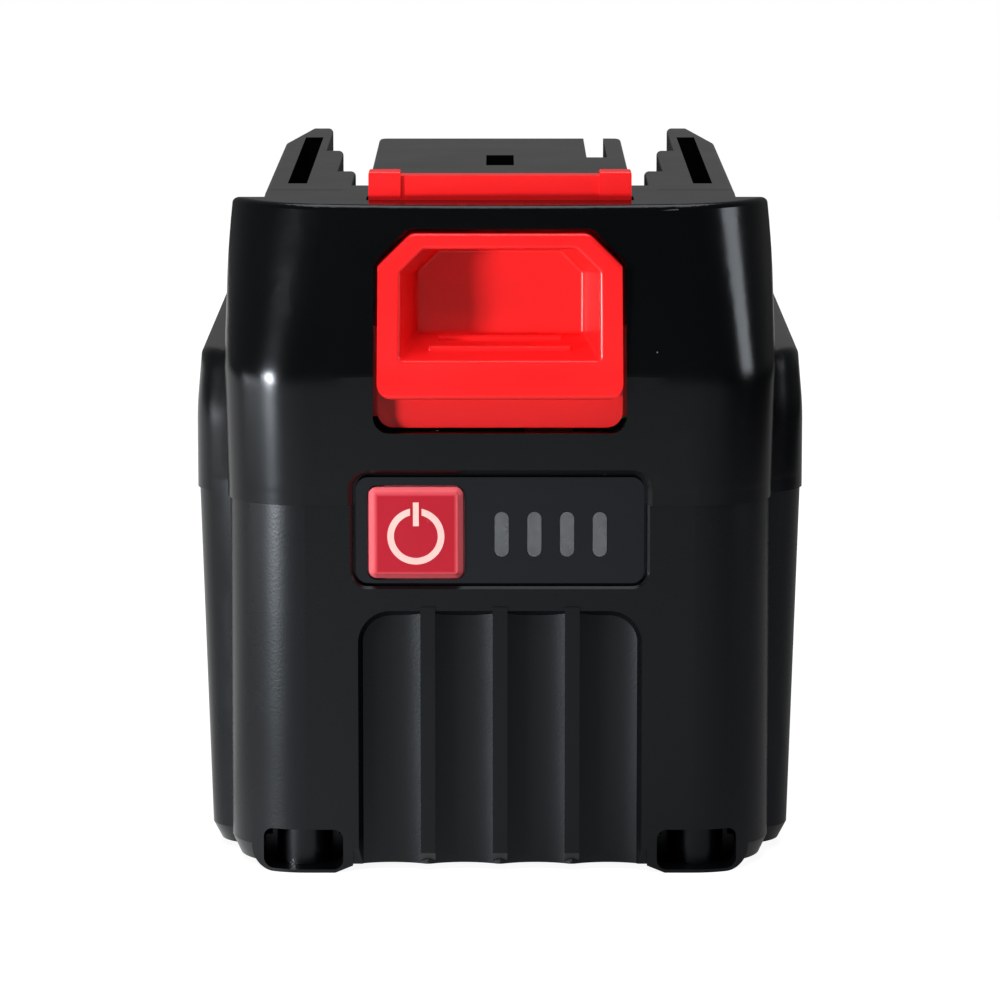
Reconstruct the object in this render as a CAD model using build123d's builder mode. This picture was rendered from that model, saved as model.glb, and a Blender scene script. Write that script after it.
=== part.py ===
from build123d import *
import math
import os

os.makedirs("parts", exist_ok=True)

# Power tool battery pack: fifteen round cells across the width of a two-piece case, with slide
# rails, a terminal block, a sprung release button and a charge indicator.
# Lengths are in millimetres. X is the width, Y runs from the front to the rear and Z is up.
# The origin is on the surface that the feet stand on, under the middle of the pack.

# Cells and their spacing
cell_diameter = 18.0
cell_length = 65.0
cell_columns = 5
cell_rows = 3
column_web = 0.6
row_web = 0.5
cell_clearance = 0.05
cap_radius = 4.2
cap_height = 0.8
cell_edge = 0.5

# Case: walls, seam and the room round the cells
wall = 2.0
deck_wall = 1.7
end_space = 2.75
front_space = 12.6
rear_space = 7.3
foot_height = 0.9
floor_space = 2.3
holder_margin = 0.2
seam_drop = 17.4
skirt_overhang = 0.25
draft_angle = 1.8
overrun = 5.0

# Front block, which stands in front of the wide body
nose_step = 4.1
nose_depth = 10.0
nose_corner = 9.5
nose_overlap = 8.0
body_front_corner = 6.5
body_rear_corner = 9.0
low_edge_rise = 2.2
low_edge_inset = 1.0

# Upper body and head
shoulder_rise = 7.5
shoulder_angle = 5.0
shoulder_bend = 3.0
shoulder_bend_steps = 4
shoulder_radius = 1.0
head_rise = 19.0
head_depth = 20.5
head_flare = 0.6
head_narrowing = 0.5
head_crease_drop = 1.5
bow_inset = 11.65
head_side_flat = 4.35
bow_radius = 130.0
bow_setback = 0.5
head_edge_radius = 0.8
head_side_depth = 12.2
crease_radius = 5.0
head_rear_wall = 2.0

# Fluted front panel
flute_half_width = 17.3
flute_drop = 3.4
flute_corner = 4.0
flute_rise = 0.7
flute_depth = 2.0
flute_slope_angle = 24.0
flute_rib_width = 1.8
flute_rib_pitch = 8.8
flute_rib_count = 3
flute_rib_rise = 0.5
flute_rib_proud = 0.2
flute_rib_chamfer = 1.8
flute_rib_chamfer_height = 1.6
front_slab_depth = 1.6
front_slab_reach = 2.5
front_slab_rise = 1.4

# Indicator panel and the opening behind it: the panel is as wide and high as what it holds
panel_drop = 9.6
panel_left_margin = 1.55
panel_right_margin = 5.39
panel_low_margin = 0.6
panel_high_margin = 1.2
panel_gap = 0.4
panel_corner = 1.5
panel_sink = 0.3
panel_thickness = 1.2
panel_ledge_left = 0.7
panel_ledge_right = 2.7
panel_ledge_low = 0.1
panel_ledge_high = 0.6
panel_edge = 0.3
panel_edge_angle = 45.0

# Power button, its symbol and its switch
power_width = 11.5
power_height = 11.2
power_proud = 0.9
power_bevel = 1.0
power_bevel_drop = 0.7
power_corner = 1.0
power_gap = 0.2
power_flange = 0.4
power_flange_thickness = 0.6
power_travel = 0.5
power_post_radius = 1.8
power_post_length = 0.7
symbol_radius = 3.46
symbol_drop = 0.3
symbol_stroke = 0.8
symbol_bar_low = 1.25
symbol_bar_high = 4.15
symbol_bar_width = 0.7
symbol_bar_gap = 0.35
symbol_depth = 0.3
symbol_proud = 0.05
switch_size = 6.0
switch_depth = 3.2
switch_corner = 0.5
plunger_radius = 1.7
plunger_length = 2.0
plunger_clearance = 0.08
plunger_rear_space = 0.2

# Charge lights
window_start = 4.65
window_drop = 0.2
window_pitch = 3.97
window_count = 4
window_width = 1.7
window_height = 5.5
window_clearance = 0.05
guide_bar_margin = 0.8
light_width = 1.6
light_height = 3.2
light_depth = 0.8
light_gap = 0.1
led_board_reach = 0.9
led_board_low_margin = 0.8
led_board_high_margin = 1.0
led_board_thickness = 1.0
post_inset = 1.4
post_width = 1.6
post_length = 3.2

# Release button and latch tongue
release_band_height = 3.9
release_lip_height = 3.9
release_top_drop = 3.3
release_half_width = 14.7
release_flare = 0.2
release_top_corner = 4.0
release_top_round = 1.6
release_low_corner = 2.0
release_gap = 0.5
release_low_gap = 0.4
release_top_proud = 0.2
release_mid_proud = 0.8
release_lip_proud = 2.0
release_depth = 10.5
release_band_overlap = 4.0
release_band_clearance = 0.3
release_flange_reach = 2.3
release_flange_rise = 1.2
release_flange_height = 11.0
release_flange_setback = 3.6
release_flange_thickness = 1.8
release_travel = 4.0
release_edge = 0.6
pocket_side_wall = 2.3
pocket_rise = 0.4
pocket_drop = 1.7
pocket_corner = 2.8
pocket_side_slope = 2.2
pocket_low_slope = 2.6
pocket_high_slope = 1.0
pocket_back_wall = 2.5
pocket_rounding = 0.5
pocket_rim = 0.5
grip_rib_count = 2
grip_rib_start = 3.0
grip_rib_pitch = 3.2
grip_rib_radius = 0.5
grip_rib_half_width = 8.7
grip_rib_narrowing = 1.1
tongue_half_width = 16.0
tongue_thickness = 3.4
tongue_rise = 3.4
tongue_root = 2.6
tongue_end_width = 3.9
tongue_end_proud = 0.4
tongue_mid_drop = 0.5
tongue_slot_gap = 0.3
tongue_edge = 0.3

# Latch springs and their shelf
spring_x = 9.0
spring_inset = 3.3
spring_radius = 2.0
spring_wire = 0.25
spring_turns = 6
spring_hole_clearance = 0.35
spring_hole_depth = 6.7
spring_end_gap = 0.05
shelf_thickness = 1.2
shelf_half_width = 14.0
shelf_rise = 0.2
shelf_clearance = 0.4
shelf_reach = 0.5

# Slide rails
rail_outer = 29.1
rail_web_outer = 25.0
rail_inner_front = 18.5
rail_inner_middle = 20.9
rail_inner_rear = 23.3
rail_step_front = 24.0
rail_step_rear = 52.5
rail_rear_setback = 9.5
rail_taper_length = 22.0
rail_taper_depth = 2.8
rail_plinth_rise = 3.0
rail_groove_height = 7.5
rail_slot_inner = 24.2
rail_slot_width = 2.4
rail_slot_depth = 6.5
rail_slot_front = 7.5
rail_slot_rear = 14.5
rail_edge = 0.7

# Terminal block
block_half_width = 16.5
block_length = 70.5
block_wall = 1.8
block_corner = 1.2
block_edge = 0.5
channel_step = 5.0
blade_slot_x = 12.75
blade_slot_width = 2.7
blade_slot_length = 28.0
blade_slot_depth = 12.0
blade_slot_roof = 2.5
data_slot_half_width = 4.2
data_slot_low = 5.0
data_slot_height = 4.5
key_hole_half_width = 1.8
key_hole_front = 31.5
key_hole_length = 14.0

# Screw columns, feet and screws
column_gap = 0.9
column_overlap = 0.3
column_radius = 4.8
rear_column_inset = 8.25
rear_column_radius = 3.5
column_foot_radius = 3.4
screw_head_radius = 2.2
screw_head_height = 2.2
screw_radius = 1.4
screw_length = 28.0
screw_reach = 8.4
screw_end_space = 0.5
screw_end_cover = 1.5
screw_clearance = 0.05
screw_access_clearance = 0.2
screw_drive_radius = 1.3
screw_drive_depth = 1.2
front_foot_inner = 18.0
front_foot_outer = 30.5
front_foot_ramp = 2.2
front_foot_round = 2.8
foot_edge = 0.8
rear_foot_length = 13.0
rear_foot_width = 13.0
foot_pocket_half_width = 4.9
foot_pocket_height = 5.4
foot_pocket_floor = 0.4
foot_pocket_depth = 9.0
foot_pocket_corner = 1.2

# Cell holders, strips, sheets and the main board
holder_depth = 12.5
holder_chamfer = 1.6
holder_border = 0.4
rib_thickness = 1.6
strip_thickness = 0.2
strip_reach = 5.5
strip_slot_width = 1.0
strip_slot_length = 9.0
tab_width = 5.0
side_sheet_thickness = 0.4
side_sheet_margin = 1.0
top_sheet_thickness = 0.3
top_sheet_margin = 2.5
deck_clearance = 0.2
board_clearance = 0.4
board_thickness = 1.2
contact_thickness = 0.5
contact_length = 18.0
contact_height = 12.0
contact_gap = 1.0
contact_inset = 4.0
connector_half_width = 4.0
connector_length = 9.0
connector_height = 8.0
connector_inset = 1.0
pin_count = 3
pin_pitch = 2.4
pin_size = 0.8
chip_rise = 1.4
chip_size = 6.0
chip_pitch = 9.0
chip_count = 3
chip_start = 8.0
cable_width = 6.0
cable_thickness = 0.25
cable_gap = 0.05
cable_standoff = 1.6
cable_x = 6.0
cable_rise = 0.8

# Levels worked out from the sizes above
column_pitch = cell_diameter + column_web
row_pitch = cell_diameter + row_web
low_edge_top = foot_height + low_edge_rise
floor_top = foot_height + wall
first_row = floor_top + floor_space + holder_margin + cell_diameter / 2
holder_low = first_row - cell_diameter / 2 - holder_margin
holder_high = first_row + (cell_rows - 1) * row_pitch + cell_diameter / 2 + holder_margin
sheet_top = holder_high + top_sheet_thickness
deck_under = sheet_top + strip_thickness + deck_clearance
deck_height = deck_under + deck_wall
head_height = deck_height + head_rise
crease_height = deck_height - head_crease_drop
shoulder_height = deck_height - shoulder_rise
seam_height = deck_height - seam_drop
panel_low = seam_height - panel_drop
panel_high = panel_low + panel_low_margin + power_height + panel_high_margin
slab_high = panel_high + panel_gap + front_slab_rise
flute_top = panel_low - flute_drop
flute_slope_run = flute_depth * math.tan(math.radians(flute_slope_angle))
power_z = panel_low + panel_low_margin + power_height / 2
window_z = power_z - window_drop
led_board_low = panel_low + led_board_low_margin
led_board_high = panel_high - led_board_high_margin
cable_level = power_z + cable_rise

# Levels of the release button: it stands its travel above the shelf over the panel
shelf_low = panel_high + shelf_rise
shelf_top = shelf_low + shelf_thickness
release_low = shelf_top + shelf_clearance + release_travel
release_lip_low = release_low + release_band_height
release_lip_top = release_lip_low + release_lip_height
release_high = head_height - release_top_drop
release_flange_low = release_low + release_flange_rise
release_flange_high = release_flange_low + release_flange_height
pocket_low = release_lip_top + pocket_rise
pocket_high = release_high - pocket_drop
pocket_back_low = pocket_low + pocket_low_slope
pocket_back_high = pocket_high - pocket_high_slope
tongue_low = release_lip_top - tongue_root
spring_high = release_low + spring_hole_depth
upper_column_high = seam_height + screw_reach + screw_end_space + screw_end_cover
screw_head_level = seam_height + screw_reach - screw_length

# Widths and lengths worked out from the sizes above
body_half_width = cell_length / 2 + end_space + wall
nose_half_width = body_half_width - nose_step
bow_half_width = nose_half_width - bow_inset
windows_width = (window_count - 1) * window_pitch
panel_width = (panel_left_margin + power_width + window_start + windows_width
               + panel_right_margin)
panel_half_width = panel_width / 2
panel_opening_left = panel_half_width - panel_ledge_left
panel_opening_right = panel_half_width - panel_ledge_right
power_x = panel_left_margin + power_width / 2 - panel_half_width
window_x = power_x + power_width / 2 + window_start
front_slab_half_width = panel_half_width + front_slab_reach
led_board_half_width = panel_half_width + led_board_reach
post_inner = led_board_half_width - post_inset
column_x = led_board_half_width + column_gap + column_radius
column_setback = wall + column_radius - column_overlap
rear_column_x = body_half_width - rear_column_inset
rear_column_setback = wall + rear_column_radius - column_overlap
release_flange_half_width = release_half_width + release_flange_reach
pocket_half_width = release_half_width - pocket_side_wall
pocket_back_half_width = pocket_half_width - pocket_side_slope
pocket_depth = release_depth - pocket_back_wall
spring_setback = release_depth - spring_inset
cells_length = (cell_columns - 1) * column_pitch + cell_diameter
pack_length = release_lip_proud + wall + front_space + cells_length + rear_space + wall
rear_face = pack_length / 2
front_face = -pack_length / 2 + release_lip_proud
body_front = front_face + nose_depth
first_column = front_face + wall + front_space + cell_diameter / 2
last_column = first_column + (cell_columns - 1) * column_pitch
inner_front = front_face + wall
slab_face = inner_front + front_slab_depth
head_rear = front_face + head_depth
head_side_rear = front_face + head_side_depth
rail_rear = rear_face - rail_rear_setback
block_rear = head_rear + block_length
block_inner = block_half_width - block_wall
board_half_width = block_inner - board_clearance
board_front = head_rear + block_wall + board_clearance
board_rear = block_rear - block_wall - board_clearance
board_top = sheet_top + board_thickness
panel_seat = front_face + panel_sink + panel_thickness
power_face = front_face + panel_sink - power_proud
led_board_front = slab_face + post_length
switch_front = led_board_front - switch_depth
plunger_front = panel_seat + power_flange_thickness + power_post_length
tongue_front = front_face + pocket_depth
tongue_rear = tongue_front + tongue_thickness + tongue_end_proud / 2
draft = math.tan(math.radians(draft_angle))


def save(piece, name):
    piece.part.label = name
    export_step(piece.part, "parts/" + name + ".step")


def plan(level, half_width, front, rear, front_radius, rear_radius):
    # A rectangle seen from above, with its own radius on the front and on the rear corners.
    with BuildSketch(Plane.XY.offset(level)) as outline:
        with Locations((0, (front + rear) / 2)):
            Rectangle(2 * half_width, rear - front)
        fillet(outline.vertices().group_by(Axis.Y)[0], front_radius)
        if rear_radius:
            fillet(outline.vertices().group_by(Axis.Y)[-1], rear_radius)
    return outline.sketch


def block(left, right, front, rear, low, high):
    # A plain rectangle from above, raised from one level to another.
    with BuildSketch(Plane.XY.offset(low)) as outline:
        with Locations(((left + right) / 2, (front + rear) / 2)):
            Rectangle(right - left, rear - front)
    return extrude(outline.sketch, amount=high - low, mode=Mode.PRIVATE)


def front_plane(y):
    # Faces the front of the pack: its own X runs right and its own Y runs up.
    return Plane(origin=(0, y, 0), x_dir=(1, 0, 0), z_dir=(0, -1, 0))


def front_rectangle(y, left, right, low, high, radius):
    # A rectangle seen from the front, with rounded corners.
    with BuildSketch(front_plane(y)) as outline:
        with Locations(((left + right) / 2, (low + high) / 2)):
            RectangleRounded(right - left, high - low, radius)
    return outline.sketch


def cylinder(x, y, radius, low, high):
    with BuildSketch(Plane.XY.offset(low)) as outline:
        with Locations((x, y)):
            Circle(radius)
    return extrude(outline.sketch, amount=high - low, mode=Mode.PRIVATE)


# Case

def body_prism(inset, low):
    # The wide body below the seam: it narrows downwards, and more so round its lower edge.
    shrink = inset + (seam_height - low_edge_top) * draft
    with BuildPart() as prism:
        extrude(
            plan(seam_height, body_half_width - inset, body_front + inset, rear_face - inset,
                 body_front_corner - inset, body_rear_corner - inset),
            amount=-(seam_height - low_edge_top),
            taper=draft_angle,
        )
        for level, slope in ((low_edge_top, 0), (foot_height, low_edge_inset)):
            inwards = shrink + slope
            add(
                plan(level, body_half_width - inwards, body_front + inwards, rear_face - inwards,
                     body_front_corner - shrink, body_rear_corner - shrink)
            )
        loft(ruled=True)
        add(
            block(-body_half_width, body_half_width, front_face, rear_face, -overrun, low),
            mode=Mode.SUBTRACT,
        )
    return prism.part


def nose_prism(inset, low):
    # The front block below the seam, with the same slope round its lower edge.
    nose_rear = body_front + nose_overlap
    with BuildPart() as prism:
        extrude(
            plan(seam_height, nose_half_width - inset, front_face + inset, nose_rear,
                 nose_corner - inset, 0),
            amount=-(seam_height - low_edge_top),
        )
        for level, slope in ((low_edge_top, 0), (foot_height, low_edge_inset)):
            inwards = inset + slope
            add(plan(level, nose_half_width - inwards, front_face + inwards, nose_rear,
                     nose_corner - inwards, 0))
        loft(ruled=True)
        add(
            block(-nose_half_width, nose_half_width, front_face, nose_rear, -overrun, low),
            mode=Mode.SUBTRACT,
        )
    return prism.part


def front_feet():
    # The two feet under the front block: round outside, with a short ramp at their inner ends.
    nose_rear = body_front + nose_overlap
    with BuildPart() as feet:
        for side in (-1, 1):
            inner = side * front_foot_inner
            outer = side * front_foot_outer
            with BuildSketch(front_plane(nose_rear)) as profile:
                with BuildLine():
                    Polyline((inner, low_edge_top), (outer, low_edge_top), (outer, 0),
                             (side * (front_foot_inner + front_foot_ramp), 0),
                             (inner, foot_height), close=True)
                make_face()
                outer_corner = profile.vertices().group_by(Axis.Y)[0].sort_by(Axis.X)
                fillet(outer_corner[0 if side < 0 else -1], front_foot_round)
            extrude(amount=nose_rear - front_face)
        add(
            extrude(plan(0, nose_half_width, front_face, nose_rear, nose_corner, 0),
                    amount=low_edge_top, mode=Mode.PRIVATE),
            mode=Mode.INTERSECT,
        )
    return feet.part


def screw_places():
    # The four screws: two in the front block and two in the rear corners.
    front_y = front_face + column_setback
    rear_y = rear_face - rear_column_setback
    return [
        (-column_x, front_y, column_radius),
        (column_x, front_y, column_radius),
        (-rear_column_x, rear_y, rear_column_radius),
        (rear_column_x, rear_y, rear_column_radius),
    ]


def flute_cutter():
    # The sunk field of the front panel: flat edges, a hollow between each pair of ribs.
    with BuildPart() as cutter:
        with BuildSketch(front_plane(front_face + flute_depth)) as field:
            with Locations((0, (flute_top - flute_slope_run - overrun) / 2)):
                Rectangle(2 * (flute_half_width - flute_slope_run), flute_top - flute_slope_run + overrun)
            fillet(field.vertices().group_by(Axis.Y)[-1], flute_corner - flute_slope_run)
        extrude(amount=overrun, taper=-flute_slope_angle)
        hollow_half = (flute_rib_pitch - flute_rib_width) / 2
        hollow_radius = (hollow_half**2 + flute_rise**2) / (2 * flute_rise)
        for index in range(flute_rib_count + 1):
            middle = (index - flute_rib_count / 2) * flute_rib_pitch
            left = middle - flute_rib_pitch / 2
            right = middle + flute_rib_pitch / 2
            with BuildSketch(Plane.XY.offset(-overrun)) as web:
                with Locations((middle, front_face + flute_depth - overrun / 2)):
                    Rectangle(right - left, overrun)
                with Locations((middle, front_face + flute_depth - hollow_radius)):
                    Circle(hollow_radius, mode=Mode.SUBTRACT)
            web_faces = web.faces().filter_by(lambda face: face.center().Y > front_face)
            extrude(web_faces, amount=flute_top + overrun, mode=Mode.SUBTRACT)
    return cutter.part


def flute_rib(x):
    # An upright rib of the front panel, cut back at its lower front edge.
    front = front_face - flute_rib_proud
    behind = front_face + flute_depth + wall / 2
    with BuildPart() as rib:
        with BuildSketch(Plane.YZ.offset(x - flute_rib_width / 2)):
            with BuildLine():
                Polyline((front, flute_top + flute_rib_rise), (behind, flute_top + flute_rib_rise),
                         (behind, foot_height), (front + flute_rib_chamfer, foot_height),
                         (front, foot_height + flute_rib_chamfer_height), close=True)
            make_face()
        extrude(amount=flute_rib_width)
    return rib.part


def panel_cutter():
    # The seat of the indicator panel, and the opening through the wall behind it.
    half = panel_half_width + panel_gap
    with BuildPart() as cutter:
        extrude(
            front_rectangle(panel_seat, -half, half, panel_low - panel_gap,
                            panel_high + panel_gap, panel_corner + panel_gap),
            amount=overrun,
        )
        # A small slope round the mouth of the seat.
        extrude(
            front_rectangle(front_face + panel_edge, -half, half, panel_low - panel_gap,
                            panel_high + panel_gap, panel_corner + panel_gap),
            amount=overrun,
            taper=-panel_edge_angle,
        )
        extrude(
            front_rectangle(slab_face + overrun, -panel_opening_left, panel_opening_right,
                            panel_low + panel_ledge_low, panel_high - panel_ledge_high,
                            panel_corner),
            amount=slab_face + overrun - panel_seat + panel_sink,
        )
    return cutter.part


def foot_pocket(side):
    # A pocket in the front of each front foot, round the lower end of the screw column.
    left = side * column_x - foot_pocket_half_width
    right = side * column_x + foot_pocket_half_width
    with BuildPart() as pocket:
        extrude(
            front_rectangle(front_face + foot_pocket_depth, left, right, foot_pocket_floor,
                            foot_pocket_height, foot_pocket_corner),
            amount=foot_pocket_depth + overrun,
        )
        add(
            cylinder(side * column_x, front_face + column_setback, column_foot_radius,
                     -overrun, foot_pocket_height + overrun),
            mode=Mode.SUBTRACT,
        )
    return pocket.part


def rear_foot(side):
    # A corner block that carries the walls straight down to the surface, past the low slope.
    shrink = (seam_height - low_edge_top) * draft
    half = body_half_width - shrink
    rear = rear_face - shrink
    with BuildPart() as foot:
        extrude(
            plan(0, half, body_front, rear, body_front_corner, body_rear_corner - shrink),
            amount=low_edge_top,
        )
        outer = side * half
        inner = side * (half - rear_foot_width)
        add(
            block(min(outer, inner), max(outer, inner), rear - rear_foot_length, rear, 0,
                  low_edge_top),
            mode=Mode.INTERSECT,
        )
        fillet(foot.faces().sort_by(Axis.Z)[0].edges(), foot_edge)
    return foot.part


def make_lower_case():
    with BuildPart() as lower_case:
        add(body_prism(0, foot_height))
        add(nose_prism(0, foot_height))
        add(front_feet())
        for side in (-1, 1):
            add(rear_foot(side))
        add(body_prism(wall, floor_top), mode=Mode.SUBTRACT)
        add(nose_prism(wall, floor_top), mode=Mode.SUBTRACT)
        # Inside: the thick front slab, the screw columns, the floor ribs and the board posts.
        add(
            block(-front_slab_half_width, front_slab_half_width, inner_front - wall / 2,
                  slab_face, floor_top - wall / 2, seam_height)
        )
        for x, y, radius in screw_places():
            add(cylinder(x, y, radius, wall / 2, seam_height))
        for side in (-1, 1):
            rib_x = side * (cell_length - holder_depth) / 2
            add(
                block(rib_x - rib_thickness / 2, rib_x + rib_thickness / 2,
                      first_column, last_column, floor_top - wall / 2, holder_low)
            )
            post_x = side * (post_inner + post_width / 2)
            add(
                block(post_x - post_width / 2, post_x + post_width / 2, slab_face - wall / 2,
                      led_board_front, led_board_low, seam_height)
            )
        # Cuts: fluted panel, indicator panel, foot pockets and screw holes.
        add(flute_cutter(), mode=Mode.SUBTRACT)
        for index in range(flute_rib_count):
            add(flute_rib((index - (flute_rib_count - 1) / 2) * flute_rib_pitch))
        add(panel_cutter(), mode=Mode.SUBTRACT)
        for side in (-1, 1):
            add(foot_pocket(side), mode=Mode.SUBTRACT)
        for x, y, radius in screw_places():
            add(
                cylinder(x, y, screw_head_radius + screw_access_clearance, -overrun,
                         screw_head_level),
                mode=Mode.SUBTRACT,
            )
            add(
                cylinder(x, y, screw_radius + screw_access_clearance, -overrun,
                         seam_height + overrun),
                mode=Mode.SUBTRACT,
            )
    return lower_case


def head_outline(level, half_width, front, inset):
    # Plan of the front block at the crease: flat front, round corners.
    side = half_width - inset
    ahead = front + inset
    corner = nose_corner - inset
    with BuildSketch(Plane.XY.offset(level)) as outline:
        with BuildLine():
            Line((-(side - corner), ahead), (side - corner, ahead))
            TangentArc((side - corner, ahead), (side, ahead + corner), tangent=(1, 0))
            Polyline((side, ahead + corner), (side, head_rear), (-side, head_rear),
                     (-side, ahead + corner))
            TangentArc((-side, ahead + corner), (-(side - corner), ahead), tangent=(0, -1))
        make_face()
    return outline.sketch


def bowed_outline(level, half_width, front, inset):
    # Plan of the top of the head: a bowed front that turns into the sides on wider arcs.
    side = half_width - inset
    lean = bow_half_width / bow_radius
    turn = math.sqrt(1 - lean**2)
    bow = bow_radius - inset
    bow_x = bow * lean
    bow_y = front + inset + bow * (1 - turn)
    corner_y = head_rear - head_side_flat
    with BuildSketch(Plane.XY.offset(level)) as outline:
        with BuildLine():
            ThreePointArc((-bow_x, bow_y), (0, front + inset), (bow_x, bow_y))
            TangentArc((bow_x, bow_y), (side, corner_y), tangent=(turn, lean))
            Polyline((side, corner_y), (side, head_rear), (-side, head_rear),
                     (-side, corner_y))
            TangentArc((-bow_x, bow_y), (-side, corner_y), tangent=(-turn, lean))
        make_face()
    return outline.sketch


def head_corners(inset):
    # The outer corners behind the head's rounded front, which the head leaves free.
    with BuildPart() as corners:
        for side in (-1, 1):
            inner = side * (rail_outer - inset)
            outer = side * body_half_width
            add(
                block(min(inner, outer), max(inner, outer), head_side_rear - inset, rear_face,
                      deck_under, head_height + overrun)
            )
    return corners.part


def head_shell(inset):
    # The front block above the seam: upright to the crease, then leaning back to its bowed top.
    skirt_front = front_face - skirt_overhang
    with BuildPart() as head:
        add(head_outline(seam_height, nose_half_width + skirt_overhang, skirt_front, inset))
        add(head_outline(crease_height, nose_half_width + head_flare, skirt_front, inset))
        add(bowed_outline(head_height, nose_half_width + head_flare - head_narrowing,
                          front_face + bow_setback, inset))
        loft(ruled=True)
        add(head_corners(inset), mode=Mode.SUBTRACT)
        if not inset:
            crease = head.edges().filter_by_position(Axis.Z, crease_height, crease_height)
            fillet([edge for edge in crease if edge.center().Y < head_rear], crease_radius)
        if inset:
            # The hollow stops under the roof and in front of the rear wall.
            add(
                block(-body_half_width, body_half_width, front_face - overrun, rear_face,
                      head_height - inset, head_height + overrun),
                mode=Mode.SUBTRACT,
            )
            add(
                block(-body_half_width, body_half_width, head_rear - head_rear_wall,
                      rear_face, deck_under, head_height + overrun),
                mode=Mode.SUBTRACT,
            )
        else:
            fillet(head.faces().sort_by(Axis.Z)[-1].edges(), head_edge_radius)
    return head.part


def shoulder_prism(inset, high):
    # The wide body above the seam: it leans in above the shoulder line.
    grow = skirt_overhang - inset
    with BuildPart() as prism:
        # Upright, then a soft bend in a few small turns, then the leaning part.
        bend_low = shoulder_height - shoulder_bend / 2
        turns = [(bend_low - seam_height, 0)]
        for step in range(1, shoulder_bend_steps + 1):
            turns.append((shoulder_bend / shoulder_bend_steps,
                          shoulder_angle * step / (shoulder_bend_steps + 1)))
        turns.append((high - bend_low - shoulder_bend, shoulder_angle))
        level = seam_height
        for amount, taper in turns:
            extrude(
                plan(level, body_half_width + grow, body_front - grow, rear_face + grow
                     - skirt_overhang, body_front_corner + grow, body_rear_corner + grow),
                amount=amount,
                taper=taper,
            )
            level += amount
            grow -= amount * math.tan(math.radians(taper))
        if not inset:
            fillet(prism.faces().sort_by(Axis.Z)[-1].edges(), shoulder_radius)
    return prism.part


def slide_rail():
    # The right-hand rail: plinth, web and overhanging flange, with a slot down its top.
    front = head_rear - head_rear_wall / 2
    step_front = head_rear + rail_step_front
    step_rear = head_rear + rail_step_rear
    taper_start = rail_rear - rail_taper_length
    plinth_top = deck_height + rail_plinth_rise
    flange_low = plinth_top + rail_groove_height
    inner_edge = [
        (rail_inner_rear, rail_rear),
        (rail_inner_rear, step_rear),
        (rail_inner_middle, step_rear),
        (rail_inner_middle, step_front),
        (rail_inner_front, step_front),
        (rail_inner_front, front),
    ]
    tapered_edge = [
        (rail_outer, front),
        (rail_outer, taper_start),
        (rail_outer - rail_taper_depth, rail_rear),
    ]
    straight_edge = [(rail_web_outer, front), (rail_web_outer, rail_rear)]
    with BuildPart() as rail:
        for outer_edge, low, high in (
            (tapered_edge, deck_under, plinth_top),
            (straight_edge, deck_under, head_height),
            (tapered_edge, flange_low, head_height),
        ):
            with BuildSketch(Plane.XY.offset(low)):
                with BuildLine():
                    Polyline(*inner_edge, *outer_edge, close=True)
                make_face()
            extrude(amount=high - low)
        top_edges = rail.faces().sort_by(Axis.Z)[-1].edges()
        fillet(top_edges, rail_edge)
        add(
            block(rail_slot_inner, rail_slot_inner + rail_slot_width,
                  head_rear + rail_slot_front, rail_rear - rail_slot_rear,
                  head_height - rail_slot_depth, head_height + overrun),
            mode=Mode.SUBTRACT,
        )
    return rail.part


def terminal_block():
    # The raised block between the rails, before it is hollowed.
    with BuildPart() as terminal:
        add(
            block(-block_half_width, block_half_width, head_rear - head_rear_wall / 2,
                  block_rear, deck_under, head_height)
        )
        fillet(terminal.edges().filter_by(Axis.Z).sort_by(Axis.Y)[-2:], block_corner)
        fillet(terminal.faces().sort_by(Axis.Z)[-1].edges(), block_edge)
    return terminal.part


def terminal_cutter():
    # The hollow of the block, its two blade slots, the data slot and the small top hole.
    inner_rear = block_rear - block_wall
    with BuildPart() as cutter:
        add(
            block(-block_inner, block_inner, board_front - board_clearance, inner_rear,
                  deck_under - overrun, head_height - block_wall)
        )
        slot_low = head_height - blade_slot_depth
        for side, top in ((1, head_height + overrun), (-1, head_height - blade_slot_roof)):
            add(
                block(side * blade_slot_x - blade_slot_width / 2,
                      side * blade_slot_x + blade_slot_width / 2,
                      block_rear - blade_slot_length, block_rear + overrun, slot_low, top)
            )
        add(
            block(-data_slot_half_width, data_slot_half_width, inner_rear - block_wall,
                  block_rear + overrun, deck_height + data_slot_low,
                  deck_height + data_slot_low + data_slot_height)
        )
        add(
            block(-key_hole_half_width, key_hole_half_width, head_rear + key_hole_front,
                  head_rear + key_hole_front + key_hole_length,
                  head_height - block_wall - wall / 2, head_height + overrun)
        )
    return cutter.part


def release_outline(y, margin, low, high):
    # The release button from the front: cut upper corners, rounded lower corners.
    top_half = release_half_width + margin
    low_half = release_half_width + release_flare + margin
    with BuildSketch(front_plane(y)) as outline:
        with BuildLine():
            Polyline((-low_half, low), (low_half, low), (top_half, high), (-top_half, high),
                     close=True)
        make_face()
        chamfer(outline.vertices().group_by(Axis.Y)[-1], release_top_corner)
        fillet(outline.vertices().group_by(Axis.Y)[-1], release_top_round)
        fillet(outline.vertices().group_by(Axis.Y)[0], release_low_corner)
    return outline.sketch


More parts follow.
